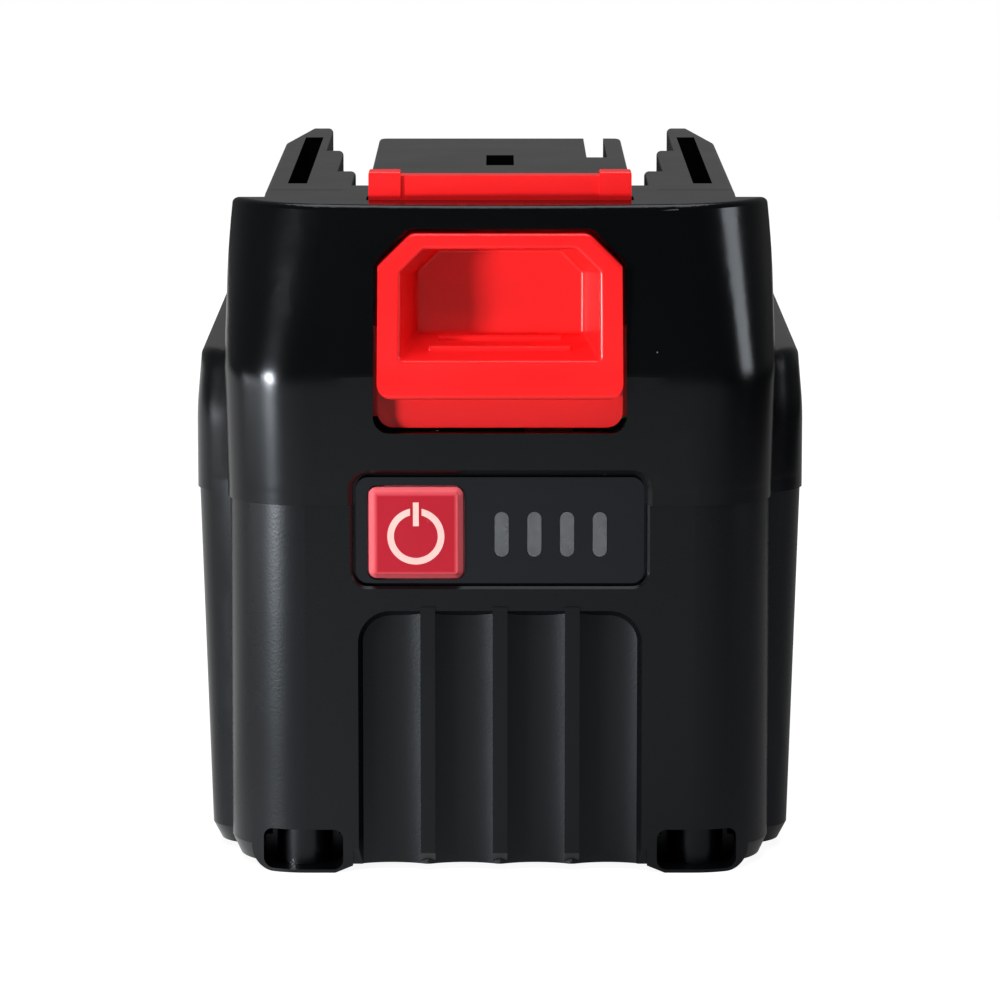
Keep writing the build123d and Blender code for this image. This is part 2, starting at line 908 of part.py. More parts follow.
def make_upper_case():
    skirt_front = front_face - skirt_overhang
    with BuildPart() as upper_case:
        add(shoulder_prism(0, deck_height))
        add(head_shell(0))
        rail = slide_rail()
        add(rail)
        add(rail.mirror(Plane.YZ))
        add(terminal_block())
        for side in (-1, 1):
            # The step at the front end of the channel between block and rail.
            inner = side * (block_half_width - wall / 2)
            outer = side * (rail_inner_front + wall / 2)
            add(
                block(min(inner, outer), max(inner, outer), head_rear - head_rear_wall / 2,
                      head_rear + channel_step, deck_under, head_height)
            )
        # Hollow inside, with the roof of the head and its rear wall left standing.
        add(shoulder_prism(wall, deck_under), mode=Mode.SUBTRACT)
        add(head_shell(wall), mode=Mode.SUBTRACT)
        add(terminal_cutter(), mode=Mode.SUBTRACT)
        # Inside: the front slab above the seam, the spring shelf and the screw columns.
        add(
            block(-front_slab_half_width, front_slab_half_width, inner_front - wall / 2,
                  slab_face, seam_height, slab_high)
        )
        add(
            block(-shelf_half_width, shelf_half_width, inner_front - wall / 2,
                  front_face + release_depth + shelf_reach, shelf_low, shelf_top)
        )
        for x, y, radius in screw_places():
            add(cylinder(x, y, radius, seam_height, upper_column_high))
            add(
                cylinder(x, y, screw_radius + screw_clearance, seam_height,
                         upper_column_high - screw_end_cover),
                mode=Mode.SUBTRACT,
            )
        add(panel_cutter(), mode=Mode.SUBTRACT)
        # The window for the release button and the slot for the latch tongue.
        window = release_outline(inner_front + release_depth / 2, release_gap,
                                 release_low - release_low_gap, release_high + release_gap)
        extrude(window, amount=release_depth / 2 + wall + overrun, mode=Mode.SUBTRACT)
        half = tongue_half_width + tongue_slot_gap
        add(
            block(-half, half, tongue_front - tongue_end_proud - tongue_slot_gap,
                  tongue_rear + tongue_slot_gap, head_height - wall - overrun / 2,
                  head_height + overrun),
            mode=Mode.SUBTRACT,
        )
    return upper_case


# Release button, latch tongue and springs

def finger_pocket():
    # The hollow that a finger pulls on: it narrows towards its back wall.
    front_y = front_face - release_lip_proud
    back_y = front_face + pocket_depth
    with BuildPart() as pocket:
        for y, half, low, high in (
            (front_y, pocket_half_width, pocket_low, pocket_high),
            (back_y, pocket_back_half_width, pocket_back_low, pocket_back_high),
        ):
            with BuildSketch(front_plane(y)) as mouth:
                with Locations((0, (low + high) / 2)):
                    Rectangle(2 * half, high - low)
                chamfer(mouth.vertices().group_by(Axis.Y)[-1], pocket_corner)
        loft(ruled=True)
        inner_edges = pocket.edges().filter_by(lambda edge: edge.center().Y > front_y
                                               + pocket_rounding)
        fillet(inner_edges, pocket_rounding)
    return pocket.part


def grip_rib(index):
    # A round rib across the sloping floor of the pocket.
    behind = grip_rib_start + index * grip_rib_pitch
    floor_slope = pocket_low_slope / (pocket_depth + release_lip_proud)
    level = pocket_low + (behind + release_lip_proud) * floor_slope
    half = grip_rib_half_width - index * grip_rib_narrowing
    with BuildPart() as rib:
        with BuildSketch(Plane.YZ.offset(-half)):
            with Locations((front_face + behind, level)):
                Circle(grip_rib_radius)
        extrude(amount=2 * half)
        fillet(rib.edges().filter_by(GeomType.CIRCLE), grip_rib_radius / 2)
    return rib.part


def at_pocket_mouth(point):
    # Whether a point lies on the rim where the finger pocket opens in the button's face.
    inside = (abs(point.X) < release_half_width - pocket_side_wall / 2
              and release_lip_top < point.Z < release_high - pocket_drop / 2)
    return inside and point.Y < front_face


def make_release_button():
    cup_back = front_face + release_depth
    lip_front = front_face - release_lip_proud
    half = release_half_width + release_flare
    with BuildPart() as release_button:
        extrude(release_outline(cup_back, 0, release_lip_low, release_high),
                amount=release_depth + release_lip_proud + overrun)
        with BuildSketch(Plane.YZ) as side_view:
            with BuildLine():
                # The face leans forward as it comes down and flares out into the lip.
                face_top = Vector(front_face - release_top_proud, release_high)
                face_low = Vector(front_face - release_mid_proud, release_lip_top)
                Line(face_top, face_low)
                TangentArc(face_low, (lip_front, release_lip_low), tangent=face_low - face_top)
                Polyline((lip_front, release_lip_low), (cup_back, release_lip_low),
                         (cup_back, release_high), face_top)
            make_face()
            fillet(side_view.vertices().sort_by(Axis.X)[0], release_edge)
        extrude(amount=half + overrun, both=True, mode=Mode.INTERSECT)
        # The band under the lip, which slides down behind the wall of the case.
        extrude(
            front_rectangle(cup_back, -half, half, release_low,
                            release_lip_low + release_band_overlap, release_low_corner),
            amount=cup_back - inner_front - release_band_clearance,
        )
        add(
            block(-release_flange_half_width, release_flange_half_width,
                  front_face + release_flange_setback,
                  front_face + release_flange_setback + release_flange_thickness,
                  release_flange_low, release_flange_high)
        )
        add(finger_pocket(), mode=Mode.SUBTRACT)
        mouth = release_button.edges().filter_by(lambda edge: at_pocket_mouth(edge.center()))
        fillet(mouth, pocket_rim)
        for index in range(grip_rib_count):
            add(grip_rib(index))
        # The latch tongue rises through the roof of the head.
        tongue_top = head_height + tongue_rise
        add(
            block(-tongue_half_width, tongue_half_width, tongue_front,
                  tongue_front + tongue_thickness, tongue_low, tongue_top - tongue_mid_drop)
        )
        for side in (-1, 1):
            outer = side * tongue_half_width
            inner = side * (tongue_half_width - tongue_end_width)
            add(
                block(min(outer, inner), max(outer, inner), tongue_front - tongue_end_proud,
                      tongue_rear, tongue_low, tongue_top)
            )
        fillet(release_button.faces().filter_by(Axis.Z).group_by(Axis.Z)[-1].edges(), tongue_edge)
        for x in (-spring_x, spring_x):
            add(
                cylinder(x, front_face + spring_setback,
                         spring_radius + spring_wire + spring_hole_clearance,
                         release_low - overrun, spring_high),
                mode=Mode.SUBTRACT,
            )
    return release_button


def make_latch_spring(x):
    # One compression spring between the shelf and the bottom of its hole in the button.
    low = shelf_top + spring_wire + spring_end_gap
    high = spring_high - spring_wire - spring_end_gap
    with BuildPart() as spring:
        with BuildLine() as coil:
            Helix((high - low) / spring_turns, high - low, spring_radius,
                  center=(x, front_face + spring_setback, low))
        with BuildSketch(Plane(origin=coil.line @ 0, z_dir=coil.line % 0)):
            Circle(spring_wire)
        sweep(is_frenet=True)
    return spring


# Indicator panel, power button and charge lights

def window_places():
    return [window_x + index * window_pitch for index in range(window_count)]


def make_indicator_panel():
    with BuildPart() as panel:
        extrude(
            front_rectangle(panel_seat, -panel_half_width, panel_half_width, panel_low,
                            panel_high, panel_corner),
            amount=panel_thickness,
        )
        extrude(
            front_rectangle(panel_seat, power_x - power_width / 2 - power_gap,
                            power_x + power_width / 2 + power_gap,
                            power_z - power_height / 2 - power_gap,
                            power_z + power_height / 2 + power_gap, power_corner + power_gap),
            amount=panel_thickness,
            mode=Mode.SUBTRACT,
        )
        for x in window_places():
            extrude(window_outline(panel_seat, x, window_clearance), amount=panel_thickness,
                    mode=Mode.SUBTRACT)
    return panel


def window_outline(y, x, margin):
    # One upright light window with round ends.
    with BuildSketch(front_plane(y)) as outline:
        with Locations((x, window_z)):
            SlotOverall(window_height + 2 * margin, window_width + 2 * margin, rotation=90)
    return outline.sketch


def make_light_guide():
    places = window_places()
    margin = window_width / 2 + guide_bar_margin
    low = window_z - window_height / 2 - guide_bar_margin
    high = window_z + window_height / 2 + guide_bar_margin
    with BuildPart() as guide:
        add(
            block(places[0] - margin, places[-1] + margin, panel_seat,
                  led_board_front - light_depth - light_gap, low, high)
        )
        for x in places:
            extrude(window_outline(panel_seat, x, 0), amount=panel_thickness)
    return guide


def make_charge_lights():
    with BuildPart() as lights:
        for x in window_places():
            add(
                block(x - light_width / 2, x + light_width / 2, led_board_front - light_depth,
                      led_board_front, window_z - light_height / 2,
                      window_z + light_height / 2)
            )
    return lights


def make_led_board():
    with BuildPart() as board:
        add(
            block(-led_board_half_width, led_board_half_width, led_board_front,
                  led_board_front + led_board_thickness, led_board_low, led_board_high)
        )
    return board


def symbol_outline(y):
    # A generic power sign: an open ring with an upright bar in its gap.
    with BuildSketch(front_plane(y)) as sign:
        with Locations((power_x, power_z - symbol_drop)):
            Circle(symbol_radius)
            Circle(symbol_radius - symbol_stroke, mode=Mode.SUBTRACT)
            with Locations((0, symbol_radius)):
                Rectangle(symbol_bar_width + 2 * symbol_bar_gap, 2 * symbol_stroke
                          + 2 * symbol_bar_gap, mode=Mode.SUBTRACT)
            with Locations((0, (symbol_bar_low + symbol_bar_high) / 2)):
                Rectangle(symbol_bar_width, symbol_bar_high - symbol_bar_low)
    return sign.sketch


def make_power_button():
    left = power_x - power_width / 2
    right = power_x + power_width / 2
    low = power_z - power_height / 2
    high = power_z + power_height / 2
    flange_back = panel_seat + power_flange_thickness
    with BuildPart() as power_button:
        extrude(front_rectangle(panel_seat, left, right, low, high, power_corner),
                amount=panel_seat - power_face)
        chamfer(power_button.faces().sort_by(Axis.Y)[0].edges(), power_bevel,
                power_bevel_drop)
        extrude(
            front_rectangle(flange_back, left - power_flange, right + power_flange,
                            low - power_flange, high + power_flange, power_corner),
            amount=power_flange_thickness,
        )
        with BuildSketch(front_plane(flange_back)):
            with Locations((power_x, power_z)):
                Circle(power_post_radius)
        extrude(amount=-power_post_length)
        extrude(symbol_outline(power_face + symbol_depth), amount=symbol_depth + overrun,
                mode=Mode.SUBTRACT)
    return power_button


def make_power_symbol():
    with BuildPart() as symbol:
        extrude(symbol_outline(power_face + symbol_depth),
                amount=symbol_depth + symbol_proud)
    return symbol


def make_power_switch():
    # The switch body, with the bore that its plunger slides in.
    depth = plunger_length + power_travel + plunger_rear_space - (switch_front - plunger_front)
    with BuildPart() as switch:
        extrude(
            front_rectangle(led_board_front, power_x - switch_size / 2,
                            power_x + switch_size / 2, power_z - switch_size / 2,
                            power_z + switch_size / 2, switch_corner),
            amount=switch_depth,
        )
        with BuildSketch(front_plane(switch_front)):
            with Locations((power_x, power_z)):
                Circle(plunger_radius + plunger_clearance)
        extrude(amount=-depth, mode=Mode.SUBTRACT)
    return switch


def make_switch_plunger():
    with BuildPart() as plunger:
        with BuildSketch(front_plane(plunger_front)):
            with Locations((power_x, power_z)):
                Circle(plunger_radius)
        extrude(amount=-plunger_length)
    return plunger


# Cells, holders, strips and sheets

def cell_places():
    return [
        (first_column + column * column_pitch, first_row + row * row_pitch, column)
        for column in range(cell_columns)
        for row in range(cell_rows)
    ]


def make_cell(y, z, column):
    # One round cell; the raised cap points right in every second column.
    side = 1 if column % 2 == 0 else -1
    plane = Plane(origin=(-side * cell_length / 2, y, z), x_dir=(0, 1, 0), z_dir=(side, 0, 0))
    with BuildPart() as cell:
        with BuildSketch(plane):
            Circle(cell_diameter / 2)
        extrude(amount=cell_length - cap_height)
        fillet(cell.edges().filter_by(GeomType.CIRCLE), cell_edge)
        with BuildSketch(plane.offset(cell_length - cap_height)):
            Circle(cap_radius)
        extrude(amount=cap_height)
    return cell


def make_cell_holder(side):
    # A moulded frame round the ends of all the cells on one side.
    outer = side * cell_length / 2
    inner = side * (cell_length / 2 - holder_depth)
    front = first_column - cell_diameter / 2 - holder_border
    rear = last_column + cell_diameter / 2 + holder_border
    with BuildPart() as holder:
        add(block(min(outer, inner), max(outer, inner), front, rear, holder_low, holder_high))
        outer_face = holder.faces().sort_by(Axis.X)[0 if side < 0 else -1]
        chamfer(outer_face.edges(), holder_chamfer)
        with BuildSketch(Plane(origin=(inner, 0, 0), x_dir=(0, 1, 0), z_dir=(1, 0, 0))):
            with Locations(*[(y, z) for y, z, column in cell_places()]):
                Circle(cell_diameter / 2 + cell_clearance)
        extrude(amount=holder_depth + overrun, both=True, mode=Mode.SUBTRACT)
    return holder


def strip_groups(side):
    # Columns joined by one strip: pairs on the right from the front, on the left from the
    # second column, so that the columns are in series.
    first = 0 if side > 0 else 1
    groups = [] if side > 0 else [[0]]
    for column in range(first, cell_columns, 2):
        groups.append([number for number in (column, column + 1) if number < cell_columns])
    return groups


def make_strip(side, columns):
    # A flat plate over the ends of one or two columns, with a tab up and over to the board.
    face = side * cell_length / 2
    outer = face + side * strip_thickness
    front = first_column + columns[0] * column_pitch - strip_reach
    rear = first_column + columns[-1] * column_pitch + strip_reach
    low = first_row - strip_reach
    high = first_row + (cell_rows - 1) * row_pitch + strip_reach
    tab_front = (front + rear - tab_width) / 2
    tab_rear = tab_front + tab_width
    board_side = side * board_half_width
    with BuildPart() as strip:
        add(block(min(face, outer), max(face, outer), front, rear, low, high))
        add(
            block(min(face, outer), max(face, outer), tab_front, tab_rear, low,
                  sheet_top + strip_thickness)
        )
        add(
            block(min(board_side, outer), max(board_side, outer), tab_front, tab_rear,
                  sheet_top, sheet_top + strip_thickness)
        )
        for column in columns:
            for row in range(cell_rows):
                y = first_column + column * column_pitch
                z = first_row + row * row_pitch
                add(
                    block(min(face, outer) - overrun, max(face, outer) + overrun,
                          y - strip_slot_width / 2, y + strip_slot_width / 2,
                          z - strip_slot_length / 2, z + strip_slot_length / 2),
                    mode=Mode.SUBTRACT,
                )
    return strip


def make_side_sheet(side):
    inner = side * (cell_length / 2 + strip_thickness)
    outer = inner + side * side_sheet_thickness
    with BuildPart() as sheet:
        add(
            block(min(inner, outer), max(inner, outer),
                  first_column - strip_reach - side_sheet_margin,
                  last_column + strip_reach + side_sheet_margin,
                  first_row - strip_reach - side_sheet_margin / 2,
                  holder_high - side_sheet_margin)
        )
    return sheet


def make_top_sheet():
    half = cell_length / 2 - top_sheet_margin
    with BuildPart() as sheet:
        add(
            block(-half, half, first_column - cell_diameter / 2, last_column
                  + cell_diameter / 2, holder_high, sheet_top)
        )
    return sheet


# Main board and what stands on it

def make_main_board():
    with BuildPart() as board:
        add(
            block(-board_half_width, board_half_width, board_front, board_rear, sheet_top,
                  board_top)
        )
    return board


def make_board_chips():
    with BuildPart() as chips:
        for index in range(chip_count):
            front = board_front + chip_start + index * chip_pitch
            add(block(-chip_size / 2, chip_size / 2, front, front + chip_size, board_top,
                      board_top + chip_rise))
    return chips


def make_contact(side):
    # A folded clip that grips a blade between two leaves.
    middle = side * blade_slot_x
    leaf_in = contact_gap / 2
    leaf_out = leaf_in + contact_thickness
    rear = board_rear - contact_inset
    front = rear - contact_length
    with BuildPart() as contact:
        add(
            block(middle - leaf_out, middle + leaf_out, front, rear, board_top,
                  board_top + contact_thickness)
        )
        for start, end in ((-leaf_out, -leaf_in), (leaf_in, leaf_out)):
            add(
                block(middle + start, middle + end, front, rear, board_top,
                      board_top + contact_height)
            )
    return contact


def make_data_connector():
    rear = board_rear - connector_inset
    top = board_top + connector_height
    with BuildPart() as connector:
        add(
            block(-connector_half_width, connector_half_width, rear - connector_length, rear,
                  board_top, top)
        )
        for index in range(pin_count):
            x = (index - (pin_count - 1) / 2) * pin_pitch
            add(
                block(x - pin_size / 2, x + pin_size / 2, rear - connector_length / 2,
                      rear + overrun, board_top + connector_height / 2, top + overrun),
                mode=Mode.SUBTRACT,
            )
    return connector


def make_board_cable():
    # A flat ribbon from the light board, up the front of the cells and back to the main board.
    back = first_column - cell_diameter / 2 - cable_standoff
    top = sheet_top + cable_gap
    start = led_board_front + led_board_thickness
    with BuildPart() as cable:
        with BuildSketch(Plane.YZ.offset(cable_x - cable_width / 2)):
            with BuildLine():
                Polyline(
                    (start, cable_level),
                    (back, cable_level),
                    (back, top),
                    (board_front, top),
                    (board_front, top + cable_thickness),
                    (back - cable_thickness, top + cable_thickness),
                    (back - cable_thickness, cable_level + cable_thickness),
                    (start, cable_level + cable_thickness),
                    close=True,
                )
            make_face()
        extrude(amount=cable_width)
    return cable


def make_case_screws():
    with BuildPart() as screws:
        for x, y, radius in screw_places():
            add(
                cylinder(x, y, screw_head_radius, screw_head_level - screw_head_height,
                         screw_head_level)
            )
            add(cylinder(x, y, screw_radius, screw_head_level, screw_head_level
                         + screw_length))
            add(
                cylinder(x, y, screw_drive_radius, screw_head_level - screw_head_height
                         - overrun, screw_head_level - screw_head_height
                         + screw_drive_depth),
                mode=Mode.SUBTRACT,
            )
    return screws


save(make_lower_case(), "lower_case")
save(make_upper_case(), "upper_case")
save(make_release_button(), "release_button")
save(make_latch_spring(-spring_x), "latch_spring_left")
save(make_latch_spring(spring_x), "latch_spring_right")
save(make_indicator_panel(), "indicator_panel")
save(make_light_guide(), "light_guide")
save(make_charge_lights(), "charge_lights")
save(make_led_board(), "light_board")
save(make_power_button(), "power_button")
save(make_power_symbol(), "power_symbol")
save(make_power_switch(), "power_switch")
save(make_switch_plunger(), "switch_plunger")
for number, (y, z, column) in enumerate(cell_places(), start=1):
    save(make_cell(y, z, column), "cell_" + str(number).zfill(2))
for side, side_name in ((-1, "left"), (1, "right")):
    save(make_cell_holder(side), "cell_holder_" + side_name)
    save(make_side_sheet(side), "side_sheet_" + side_name)
    for number, columns in enumerate(strip_groups(side), start=1):
        save(make_strip(side, columns), "cell_strip_" + side_name + "_" + str(number))
save(make_top_sheet(), "top_sheet")
save(make_main_board(), "main_board")
save(make_board_chips(), "board_chips")
save(make_contact(1), "contact_positive")
save(make_contact(-1), "contact_negative")
save(make_data_connector(), "data_connector")
save(make_board_cable(), "board_cable")
save(make_case_screws(), "case_screws")
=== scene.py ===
import math

import bpy
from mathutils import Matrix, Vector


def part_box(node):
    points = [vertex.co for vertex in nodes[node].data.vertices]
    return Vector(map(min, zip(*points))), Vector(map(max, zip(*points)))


# Looks of a slide-on battery pack: black moulded case, red release button, power button and lights.
# Everything is in metres; mm turns a size in millimetres into metres.
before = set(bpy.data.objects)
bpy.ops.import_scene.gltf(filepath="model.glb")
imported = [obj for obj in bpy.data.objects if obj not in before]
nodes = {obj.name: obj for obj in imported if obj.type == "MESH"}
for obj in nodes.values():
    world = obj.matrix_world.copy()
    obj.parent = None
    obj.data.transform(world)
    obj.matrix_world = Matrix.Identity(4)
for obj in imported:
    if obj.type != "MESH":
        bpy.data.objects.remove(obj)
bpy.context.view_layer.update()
scene = bpy.context.scene
mm = 0.001
print("frame loaded:", len(nodes), "nodes")


# Small helpers

def linear(hexColour):
    # sRGB hex to the linear values that the shaders want
    channels = [int(hexColour[i:i + 2], 16) / 255 for i in (1, 3, 5)]
    return [c / 12.92 if c <= 0.04045 else ((c + 0.055) / 1.055) ** 2.4 for c in channels] + [1.0]


def addNode(tree, kind, settings=None, links=None):
    # one node, with its settings (inputs or properties) and what feeds it
    node = tree.nodes.new(kind)
    for key, value in (settings or {}).items():
        if isinstance(key, int) or key in node.inputs:
            node.inputs[key].default_value = value
        else:
            setattr(node, key, value)
    for key, source in (links or {}).items():
        tree.links.new(source, node.inputs[key])
    return node


def multiply(tree, first, second):
    return addNode(tree, "ShaderNodeMath", {"operation": "MULTIPLY"}, {0: first, 1: second}).outputs[0]


def perMm(size):
    # scale of a pattern whose grains are this many millimetres across
    return 1 / (size * mm)


def newMaterial(name, shaderSettings):
    material = bpy.data.materials.new(name)
    material.use_nodes = True
    tree = material.node_tree
    tree.nodes.clear()
    output = addNode(tree, "ShaderNodeOutputMaterial")
    shader = addNode(tree, "ShaderNodeBsdfPrincipled", shaderSettings)
    tree.links.new(shader.outputs["BSDF"], output.inputs["Surface"])
    place = addNode(tree, "ShaderNodeTexCoord").outputs["Object"]
    return material, tree, shader, place


# Settings of all plastics: how deep light goes, and the span of a noise that changes the gloss.
plasticLook = {"specular": 0.5, "glossTint": "#ffffff", "subsurface": 0.0, "radius": (1.0, 0.3, 0.2),
               "depth": 1.5 * mm, "dustWeight": 0.5}
noiseSpan = {1: 0.3, 2: 0.7}


def mouldedPlastic(name, ownLook):
    # Moulded plastic: a fine spark-eroded grain, slow drifts of gloss and tone, a little dust.
    look = {**plasticLook, **ownLook}
    material, tree, shader, place = newMaterial(name, {
        "IOR": look["ior"], "Specular IOR Level": look["specular"],
        "Specular Tint": linear(look["glossTint"]),
        "Subsurface Weight": look["subsurface"], "Subsurface Scale": look["depth"],
        "Subsurface Radius": look["radius"]})
    drift = addNode(tree, "ShaderNodeTexNoise", {"Scale": perMm(look["driftSize"]), "Detail": 3.0},
                    {"Vector": place})
    tone = addNode(tree, "ShaderNodeMix", {"data_type": "RGBA", 6: linear(look["dark"]),
                                           7: linear(look["light"])},
                   {0: drift.outputs["Fac"]})
    # dust: small pale specks, one in every few cells of a Voronoi pattern
    cells = addNode(tree, "ShaderNodeTexVoronoi", {"Scale": perMm(look["dustGap"])}, {"Vector": place})
    lot = addNode(tree, "ShaderNodeSeparateColor", {}, {0: cells.outputs["Color"]})
    chosen = addNode(tree, "ShaderNodeMath", {"operation": "GREATER_THAN", 1: 1 - look["dustShare"]},
                     {0: lot.outputs[0]})
    near = addNode(tree, "ShaderNodeMath", {"operation": "LESS_THAN",
                                            1: look["dustSize"] / look["dustGap"]},
                   {0: cells.outputs["Distance"]})
    faint = addNode(tree, "ShaderNodeMath", {"operation": "MULTIPLY", 1: look["dustWeight"]},
                    {0: multiply(tree, chosen.outputs[0], near.outputs[0])})
    colour = addNode(tree, "ShaderNodeMix", {"data_type": "RGBA", 7: linear(look["dust"])},
                     {0: faint.outputs[0], 6: tone.outputs[2]})
    tree.links.new(colour.outputs[2], shader.inputs["Base Color"])
    # gloss drifts where the tool wears or hands polish the surface
    wear = addNode(tree, "ShaderNodeTexNoise", {"Scale": perMm(look["wearSize"]), "Detail": 4.0,
                                                "Roughness": 0.6}, {"Vector": place})
    gloss = addNode(tree, "ShaderNodeMapRange", {**noiseSpan, 3: look["rough"][0], 4: look["rough"][1]},
                    {0: wear.outputs["Fac"]})
    tree.links.new(gloss.outputs[0], shader.inputs["Roughness"])
    grain = addNode(tree, "ShaderNodeTexNoise", {"Scale": perMm(look["grainSize"]), "Detail": 2.0},
                    {"Vector": place})
    bump = addNode(tree, "ShaderNodeBump", {"Strength": look["grainStrength"],
                                            "Distance": look["grainDepth"] * mm},
                   {"Height": grain.outputs["Fac"]})
    tree.links.new(bump.outputs[0], shader.inputs["Normal"])
    return material, tree, shader, place


def dress(nodeName, material):
    # a CAD node keeps its mesh and gets its finish
    mesh = nodes[nodeName].data
    mesh.materials.clear()
    mesh.materials.append(material)


# Black case: two mouldings in ABS-PC

upperLook = {
    "dark": "#040506", "light": "#060708", "dust": "#8f9194",
    "rough": (0.16, 0.20), "ior": 1.54, "specular": 0.24, "glossTint": "#eef6ff",
    "driftSize": 30, "wearSize": 14,
    "grainSize": 0.30, "grainDepth": 0.006, "grainStrength": 0.5,   # 0.15 mm grain, drawn coarser to show
    "dustGap": 3.2, "dustSize": 0.10, "dustShare": 0.16,
}
lowerLook = {
    "dark": "#050607", "light": "#08090b", "dust": "#9b9da0",
    "rough": (0.25, 0.31), "ior": 1.54, "specular": 0.24, "glossTint": "#eef6ff",
    "driftSize": 35, "wearSize": 18,
    "grainSize": 0.32, "grainDepth": 0.012, "grainStrength": 0.8,
    "dustGap": 4.0, "dustSize": 0.11, "dustShare": 0.12, "dustWeight": 0.6,
}
upperPlastic, tree, shader, place = mouldedPlastic("polishedAbs", upperLook)   # ABS-PC, polished tool
# The head leans back from a soft crease, and the wide body bends softly at its shoulder. Both lie between
# two levels, and beside the release button's window, whose edges stay sharp.
softBend = {"radius": 3.2 * mm, "samples": 8, "low": 47 * mm, "high": 67 * mm,
            "beside": 18.5 * mm, "fade": 2 * mm}
axes = addNode(tree, "ShaderNodeSeparateXYZ", {}, {0: place})
aside = addNode(tree, "ShaderNodeMath", {"operation": "ABSOLUTE"}, {0: axes.outputs["X"]}).outputs[0]
zone = addNode(tree, "ShaderNodeMapRange", {1: softBend["beside"], 2: softBend["beside"] + softBend["fade"]},
               {0: aside}).outputs[0]
for edge, inward in ((softBend["low"], 1), (softBend["high"], -1)):
    fade = addNode(tree, "ShaderNodeMapRange", {1: edge, 2: edge + inward * softBend["fade"]},
                   {0: axes.outputs["Z"]})
    zone = multiply(tree, zone, fade.outputs[0])
eased = addNode(tree, "ShaderNodeBevel", {"samples": softBend["samples"], "Radius": softBend["radius"]})
plain = addNode(tree, "ShaderNodeNewGeometry")
blended = addNode(tree, "ShaderNodeMix", {"data_type": "VECTOR"},
                  {0: zone, 4: plain.outputs["Normal"], 5: eased.outputs[0]})
bump = shader.inputs["Normal"].links[0].from_node
tree.links.new(blended.outputs[1], bump.inputs["Normal"])
lowerPlastic, *_ = mouldedPlastic("erodedAbs", lowerLook)        # ABS-PC with a spark-eroded satin grain
dress("upper_case", upperPlastic)
dress("lower_case", lowerPlastic)
print("case dressed")


# Red release button and power button

releaseLook = {
    "dark": "#e3161b", "light": "#ef1f20", "dust": "#ffb0a8",
    "rough": (0.28, 0.36), "ior": 1.48, "subsurface": 0.15,
    "driftSize": 18, "wearSize": 9,
    "grainSize": 0.35, "grainDepth": 0.008, "grainStrength": 0.5,
    "dustGap": 3.0, "dustSize": 0.10, "dustShare": 0.15, "dustWeight": 0.3,
}
powerLook = {
    "dark": "#a50f23", "light": "#b2142b", "dust": "#ffc0c0",
    "rough": (0.2, 0.28), "ior": 1.58, "specular": 0.3, "subsurface": 0.3,
    "driftSize": 8, "wearSize": 5,
    "grainSize": 0.4, "grainDepth": 0.003, "grainStrength": 0.3,
    "dustGap": 2.5, "dustSize": 0.08, "dustShare": 0.1, "dustWeight": 0.3,
}
releasePlastic, *_ = mouldedPlastic("redAcetal", releaseLook)              # POM, slightly waxy
powerPlastic, tree, shader, place = mouldedPlastic("redPolycarbonate", powerLook)   # tinted PC, gloss skin

# Painted highlight: the button's bevels are painted paler pink where light catches them, from start to end
# off the button's middle.
powerLow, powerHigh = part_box("power_button")
paintedBevelHighlight = {"highlightPink": "#f07078", "start": 4.6 * mm, "end": 5.2 * mm, "share": 0.75}
middle = ((powerLow[0] + powerHigh[0]) / 2, 0, (powerLow[2] + powerHigh[2]) / 2)
local = addNode(tree, "ShaderNodeVectorMath", {"operation": "SUBTRACT", 1: middle}, {0: place})
local = addNode(tree, "ShaderNodeVectorMath", {"operation": "ABSOLUTE"}, {0: local.outputs[0]})
across = addNode(tree, "ShaderNodeSeparateXYZ", {}, {0: local.outputs[0]})
reach = addNode(tree, "ShaderNodeMath", {"operation": "MAXIMUM"},
                {0: across.outputs["X"], 1: across.outputs["Z"]})
highlightZone = addNode(tree, "ShaderNodeMapRange", {1: paintedBevelHighlight["start"], 2: paintedBevelHighlight["end"],
                                           3: 0.0, 4: paintedBevelHighlight["share"]}, {0: reach.outputs[0]})
deep = shader.inputs["Base Color"].links[0].from_socket
paintedHighlight = addNode(tree, "ShaderNodeMix", {"data_type": "RGBA", 7: linear(paintedBevelHighlight["highlightPink"])},
                {0: highlightZone.outputs[0], 6: deep})
tree.links.new(paintedHighlight.outputs[2], shader.inputs["Base Color"])
dress("release_button", releasePlastic)
dress("power_button", powerPlastic)

symbolLook = {
    "dark": "#ffb4ae", "light": "#ffc6c0", "dust": "#ffffff",
    "rough": (0.3, 0.4), "ior": 1.5, "driftSize": 3, "wearSize": 2,
    "grainSize": 0.3, "grainDepth": 0.004, "grainStrength": 0.4,
    "dustGap": 2.0, "dustSize": 0.05, "dustShare": 0.1, "dustWeight": 0.3,
}
symbolPaint, *_ = mouldedPlastic("padPrint", symbolLook)
dress("power_symbol", symbolPaint)
print("buttons dressed")


# Indicator panel and light guide

panelLook = {
    "dark": "#0c0e11", "light": "#101216", "dust": "#8f9194",
    "rough": (0.3, 0.38), "ior": 1.58, "specular": 0.24, "glossTint": "#eef6ff",
    "driftSize": 20, "wearSize": 10,
    "grainSize": 0.28, "grainDepth": 0.005, "grainStrength": 0.5,
    "dustGap": 3.0, "dustSize": 0.08, "dustShare": 0.12, "dustWeight": 0.4,
}
guideLook = {
    "dark": "#3f4245", "light": "#595c5f", "dust": "#a0a2a4",
    "rough": (0.2, 0.3), "ior": 1.58, "subsurface": 0.2, "radius": (1.0, 1.0, 1.0),
    "driftSize": 1.8, "wearSize": 3,
    "grainSize": 0.3, "grainDepth": 0.004, "grainStrength": 0.3,
    "dustGap": 2.5, "dustSize": 0.06, "dustShare": 0.1, "dustWeight": 0.3,
}
panelPlastic, *_ = mouldedPlastic("blackPolycarbonate", panelLook)
